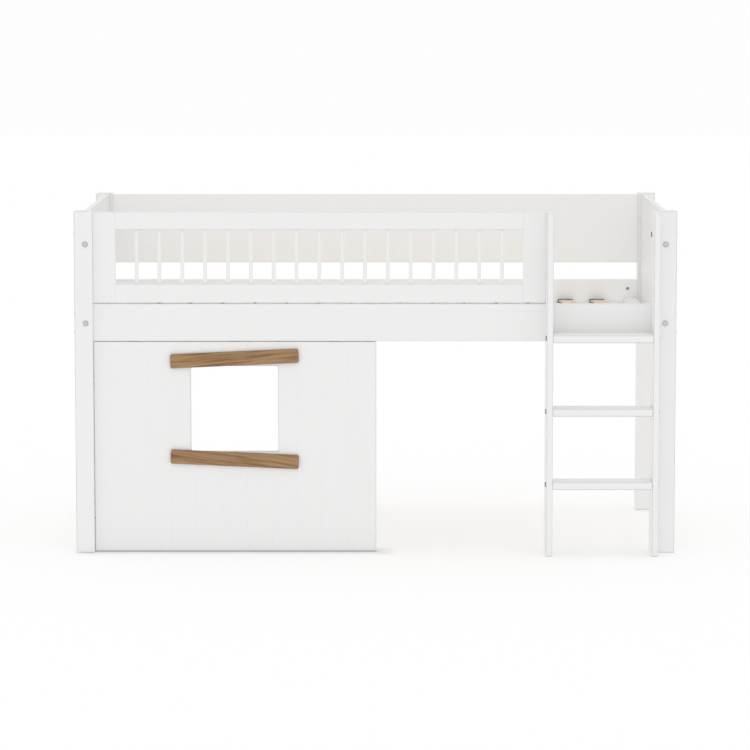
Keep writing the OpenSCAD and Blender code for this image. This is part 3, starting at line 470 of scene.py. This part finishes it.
def buildBeech(place, along):
    long, wide, deep = turned(place, along)
    length, width = beech["fleckSize"]
    run = place.joined(long * (width / length), wide, deep)
    fleck = run.noise(width, detail=1.0).fade(*beech["fleckSpan"])
    grain = place.joined(long * beech["grainStretch"], wide, deep).noise(beech["grainSize"])
    tone = grain * (1 - beech["fleckShare"]) + fleck * beech["fleckShare"]
    return {
        "Base Color": tone.tint(beech["light"], beech["dark"]),
        "Roughness": grain.between(beech["roughness"]),
        "Normal": (fleck * -beech["fleckDepth"]).bump(),
    }


dress(makeFinish("beechAcross", {"IOR": beech["ior"]}, lambda place: buildBeech(place, "x")),
      "guard_post_dowel", "guard_frame_dowels", "rung_dowels", "panel_dowels")
dress(makeFinish("beechUpright", {"IOR": beech["ior"]}, lambda place: buildBeech(place, "z")), "leg_dowels")
print("beech dowels")


# zinc-plated bolts, nuts and screws, with the rings of the lathe around each axis

zinc = {
    "light": (0.78, 0.78, 0.78),
    "dark": (0.57, 0.57, 0.575),
    "ringStretch": 0.5,                  # along the axis
    "ringSize": 0.00045,
    "ringShare": 0.55,                   # of the tone; the haze has the rest
    "ringDepth": 0.00002,
    "hazeSize": 0.004,
    "hazeSpan": (0.3, 0.7),
    "hazeRoughness": 0.6,                # share of the roughness; the rings have the rest
    "roughness": (0.26, 0.42),
    "rimShade": (0.10, 0.10, 0.105),          # painted shade on the dark rim of a bolt head
    "rimReach": (0.0074, 0.0084),
    "rimShare": 0.95,
    "recessReach": 0.0024,               # arm of the cross recess in a screw head
    "recessWidth": 0.00052,
    "recessDepth": 0.0009,
    "recessShadeTone": 0.22,
    "recessSoft": (0.9, 1.5),            # of the arm's reach and width, over which it fades
}


def nearest(wire, spots):
    # distance to the nearest of the spots, with its sign
    gaps = [wire - spot for spot in spots]
    best = gaps[0]
    for gap in gaps[1:]:
        isCloser = abs(gap).under(abs(best))
        best = isCloser * gap + (1 - isCloser) * best
    return best


def buildZinc(place, along, firsts, seconds, hasRecess, brightness=1.0):
    deep, first, second = turned(place, along)
    first, second = nearest(first, firsts), nearest(second, seconds)
    radius = (first * first + second * second) ** 0.5
    ring = place.joined(radius, deep * zinc["ringStretch"], 0.0).noise(zinc["ringSize"], roughness=0.6)
    haze = place.noise(zinc["hazeSize"], detail=3.0, roughness=0.6)
    tone = ring * zinc["ringShare"] + haze.fade(*zinc["hazeSpan"]) * (1 - zinc["ringShare"])
    colour = tone.tint(shade(zinc["dark"], brightness), shade(zinc["light"], brightness))
    # painted shade on the rim of each head
    colour = radius.fade(*zinc["rimReach"], 0.0, zinc["rimShare"]).tint(colour, zinc["rimShade"])
    height = ring * zinc["ringDepth"]
    if hasRecess:
        reach, width = zinc["recessReach"], zinc["recessWidth"]
        reachSoft, widthSoft = zinc["recessSoft"]
        # painted shade in the cross recess, which the bump also sinks
        arm = abs(first).least(abs(second)).fade(width, width * widthSoft, 1.0, 0.0)
        recess = arm * abs(first).most(abs(second)).fade(reach * reachSoft, reach, 1.0, 0.0)
        colour = recess.tint(colour, shade(zinc["dark"], zinc["recessShadeTone"]))
        height = height - recess * zinc["recessDepth"]
    dullness = haze * zinc["hazeRoughness"] + ring * (1 - zinc["hazeRoughness"])
    return {
        "Base Color": colour,
        "Roughness": dullness.between(zinc["roughness"]),
        "Normal": height.bump(),
    }


fasteners = [
    # node, axis, places across the axis (y or x first, then z or y), whether a cross recess shows, brightness
    ("side_bolts", "x", (-0.4275, 0.5045), (0.784, 0.848), False, 1.0),
    ("side_barrel_nuts", "y", (-0.956, 0.956), (0.784, 0.848), False, 0.5),
    ("end_panel_bolts", "y", (-1.016, 1.016), (0.816, 1.093), False, 1.0),
    ("end_panel_barrel_nuts", "x", (-0.3675, 0.4445), (0.816, 1.093), False, 0.5),
    ("guard_bolts", "x", (-0.4275, 0.5045), (0.921, 0.983, 1.126), False, 1.0),
    ("guard_barrel_nuts", "y", (-0.956, 0.562, 0.956), (0.921, 0.983, 1.126), False, 0.5),
    ("ladder_post_bolt", "x", (-0.4275,), (1.126,), False, 1.0),
    ("ladder_cap_nut", "x", (-0.4275,), (1.126,), False, 1.0),
    ("ladder_post_screw", "x", (-0.4275,), (0.193,), True, 1.0),
    ("rung_bolts", "x", (-0.5065,), (0.251, 0.5095, 0.768), False, 1.0),
    ("rung_barrel_nuts", "z", (0.656, 0.934), (-0.5065,), False, 0.5),
    ("stile_screws", "y", (0.609, 0.981), (0.829, 0.867), True, 1.0),
    ("ledger_screws", "y", (-0.78, -0.54, -0.3, -0.06, 0.06, 0.3, 0.54, 0.78), (0.775,), True, 1.0),
    ("end_rail_screws", "z", (-0.9785, 0.9785), (-0.4025, 0.4795), True, 1.0),
    ("lath_screws", "y", (-0.64685, -0.34515), (0.32476, 0.33824, 0.68226, 0.69574), True, 1.0),
    ("leg_studs", "z", (-1.0235, 1.0235), (-0.435, 0.512), False, 1.0),
]
for name, *facts in fasteners:
    dress(makeFinish("zinc_" + name, {"Metallic": 1.0}, lambda place: buildZinc(place, *facts)), name)
print("zinc on", len(fasteners), "sets of fasteners")


# the pan-headed screws of the panel brackets stand in two directions

bracketScrews = {
    "x": (-0.856, -0.836, -0.506, -0.486, -0.156, -0.136),
    "y": (-0.4025,),
    "panelX": (-0.846, -0.496, -0.146),
    "panelZ": (0.716, 0.740),
    "split": 0.7485,                     # screws above this height point up, the others point to the front
}


def buildBracketScrews(place):
    upright = buildZinc(place, "z", bracketScrews["x"], bracketScrews["y"], True)
    level = buildZinc(place, "y", bracketScrews["panelX"], bracketScrews["panelZ"], True)
    isUpright = place.axes()[2].over(bracketScrews["split"])
    return {
        "Base Color": isUpright.tint(level["Base Color"], upright["Base Color"]),
        "Roughness": isUpright * upright["Roughness"] + (1 - isUpright) * level["Roughness"],
        "Normal": isUpright * upright["Normal"] + (1 - isUpright) * level["Normal"],
    }


dress(makeFinish("zinc_bracket_screws", {"Metallic": 1.0}, buildBracketScrews), "bracket_screws")


# rolled sheet of the brackets

sheet = {
    "light": (0.72, 0.72, 0.71),
    "dark": (0.60, 0.60, 0.60),
    "spangleSize": 0.006,
    "spangleShare": 0.5,                 # of the tone; the rolling marks have the rest
    "markStretch": 0.04,
    "markSize": 0.0008,
    "markDepth": 0.00002,
    "roughness": (0.3, 0.16, 0.06),      # lowest, and what spangles and marks add
}


def buildSheet(place):
    spangles = {"Vector": place, "Scale": 1 / sheet["spangleSize"]}
    spangle = place.node("ShaderNodeTexVoronoi", values=spangles, outlet="Distance")
    x, y, z = place.axes()
    mark = place.joined(x * sheet["markStretch"], y, z).noise(sheet["markSize"])
    tone = spangle * sheet["spangleShare"] + mark * (1 - sheet["spangleShare"])
    lowest, fromSpangle, fromMark = sheet["roughness"]
    return {
        "Base Color": tone.tint(sheet["dark"], sheet["light"]),
        "Roughness": lowest + fromSpangle * spangle + fromMark * mark,
        "Normal": (mark * sheet["markDepth"]).bump(),
    }


# turned brass of the insert nuts

brass = {
    "light": (0.72, 0.53, 0.25),
    "dark": (0.55, 0.38, 0.15),
    "ringStretch": 0.05,
    "ringSize": 0.0006,
    "ringDepth": 0.00003,
    "roughness": (0.28, 0.40),
}


def buildBrass(place):
    x, y, z = place.axes()
    ring = place.joined(x * brass["ringStretch"], y * brass["ringStretch"], z).noise(brass["ringSize"])
    return {
        "Base Color": ring.tint(brass["dark"], brass["light"]),
        "Roughness": ring.between(brass["roughness"]),
        "Normal": (ring * brass["ringDepth"]).bump(),
    }


# moulded glides under legs and stiles

glides = {
    "ior": 1.48,
    "light": (0.34, 0.34, 0.35),
    "dark": (0.27, 0.27, 0.28),
    "grainSize": 0.0008,
    "grainSpan": (0.3, 0.7),
    "grainDepth": 0.00004,
    "roughness": (0.5, 0.65),
}


def buildGlides(place):
    grain = place.noise(glides["grainSize"], roughness=0.6)
    return {
        "Base Color": grain.fade(*glides["grainSpan"]).tint(glides["dark"], glides["light"]),
        "Roughness": grain.between(glides["roughness"]),
        "Normal": (grain * glides["grainDepth"]).bump(),
    }


dress(makeFinish("bracketSheet", {"Metallic": 1.0}, buildSheet), "panel_brackets")
dress(makeFinish("insertBrass", {"Metallic": 1.0}, buildBrass), "leg_insert_nuts")
dress(makeFinish("glidePlastic", {"IOR": glides["ior"]}, buildGlides), "foot_glides")
print("brackets, insert nuts and glides")


# white studio: bright overhead and along the horizon, calmer around the bed, grey screens at both sides

studio = {
    # brightness of the surround
    "horizon": 0.985,
    "overhead": 1.0,
    "slopes": 0.96,                      # halfway up
    "front": 0.645,
    "behind": 0.7,
    "sides": 0.55,
    # from where to where each part of it fades in, as a share of a unit direction
    "sidesReach": (0.5, 0.9),
    "behindReach": (-0.3, 0.1),
    "horizonReach": (0.01, 0.12),
    "slopesReach": (0.0, 0.75),
    "overheadReach": (0.55, 0.95),
    # floor and lamps
    "floorSize": 60.0,
    "floorColour": 0.62,
    "floorGlow": 0.372,
    "lampStrength": 0.09,                # lights the floor alone
    "lampWidth": 17.0,                   # degrees
    "fillStrength": 0.066,               # lights the boards at the back alone
    "fillTilt": 80.0,                    # degrees from overhead towards the front
    "fillPieces": ("back_guard_board", "bed_side_back"),
}

# painted contact shadow on the floor where the panel meets it
paintedContactShadow = {
    "middle": (-0.4935, -0.4275),
    "halfSize": (0.4965, 0.011),
    "reach": (0.014, 0.085),             # how far the painted shadow's dark core and its soft halo spread
    "dark": (0.25, 0.42),
}


def buildSurround(direction):
    x, y, z = direction.axes()
    ahead = y.fade(*studio["behindReach"], 1.0, 0.0)
    low = studio["behind"] + ahead * (studio["front"] - studio["behind"])
    low = low + abs(x).fade(*studio["sidesReach"]) * (studio["sides"] - low)
    low = studio["horizon"] + z.fade(*studio["horizonReach"]) * (low - studio["horizon"])
    high = z.fade(*studio["overheadReach"]).between((studio["slopes"], studio["overhead"]))
    return low + z.fade(*studio["slopesReach"]) * (high - low)


def buildFloor(place):
    x, y, z = place.axes()
    (middleX, middleY), (halfX, halfY) = paintedContactShadow["middle"], paintedContactShadow["halfSize"]
    gap = (abs(x - middleX) - halfX).most(abs(y - middleY) - halfY)
    core, halo = [gap.fade(0.0, reach, dark, 0.0) for reach, dark in zip(paintedContactShadow["reach"], paintedContactShadow["dark"])]
    # the painted contact shadow dims the floor's glow
    glow = studio["floorGlow"] * (1 - (core + halo))
    return {"Emission Color": place.joined(glow, glow, glow)}


def addLamp(name, strength, receivers):
    # a broad lamp that shines on the receivers alone
    lit = bpy.data.collections.new(name + "Receivers")
    for receiver in receivers:
        lit.objects.link(receiver)
    lamp = bpy.data.objects.new(name, bpy.data.lights.new(name, "SUN"))
    bpy.context.collection.objects.link(lamp)
    lamp.data.energy = strength * math.pi
    lamp.data.angle = math.radians(studio["lampWidth"])
    lamp.light_linking.receiver_collection = lit
    return lamp


world = bpy.data.worlds.new("studio")
world.use_nodes = True
background = world.node_tree.nodes["Background"]
background.inputs["Color"].default_value = (1.0, 1.0, 1.0, 1.0)
direction = Wire(world.node_tree.nodes.new("ShaderNodeTexCoord").outputs["Generated"])
world.node_tree.links.new(buildSurround(direction).socket, background.inputs["Strength"])
bpy.context.scene.world = world

half = studio["floorSize"] / 2
corners = [(-half, -half, 0), (half, -half, 0), (half, half, 0), (-half, half, 0)]
floorMesh = bpy.data.meshes.new("floor")
floorMesh.from_pydata(corners, [], [(0, 1, 2, 3)])
floor = bpy.data.objects.new("floor", floorMesh)
bpy.context.collection.objects.link(floor)
grey = studio["floorColour"]
plainFloor = {
    "Base Color": (grey, grey, grey, 1.0),
    "Roughness": 1.0,
    "Specular IOR Level": 0.0,
    "Emission Strength": 1.0,
}
floorMesh.materials.append(makeFinish("paleFloor", plainFloor, buildFloor))

addLamp("floorLamp", studio["lampStrength"], [floor])
fill = addLamp("fillLamp", studio["fillStrength"], [parts[name] for name in studio["fillPieces"]])
fill.rotation_euler = (math.radians(studio["fillTilt"]), 0.0, 0.0)
fill.data.use_shadow = False

bpy.context.scene.view_settings.view_transform = "Standard"
bpy.context.scene.view_settings.look = "None"
print("studio ready")


# long lens, a little above the bed and in front of its middle

view = {
    "place": (-0.0014, -12.128, 2.0384),
    "down": 6.246,                       # degrees below level
    "lens": 160.54,
    "sensorWidth": 36.0,
    "shiftY": -0.0485,
    "clipEnd": 200.0,
}

camera = bpy.data.objects.new("camera", bpy.data.cameras.new("camera"))
bpy.context.collection.objects.link(camera)
camera.location = view["place"]
camera.rotation_euler = (math.radians(90 - view["down"]), 0.0, 0.0)
camera.data.sensor_width = view["sensorWidth"]
camera.data.lens = view["lens"]
camera.data.shift_y = view["shiftY"]
camera.data.clip_end = view["clipEnd"]
bpy.context.scene.camera = camera
print("camera set")
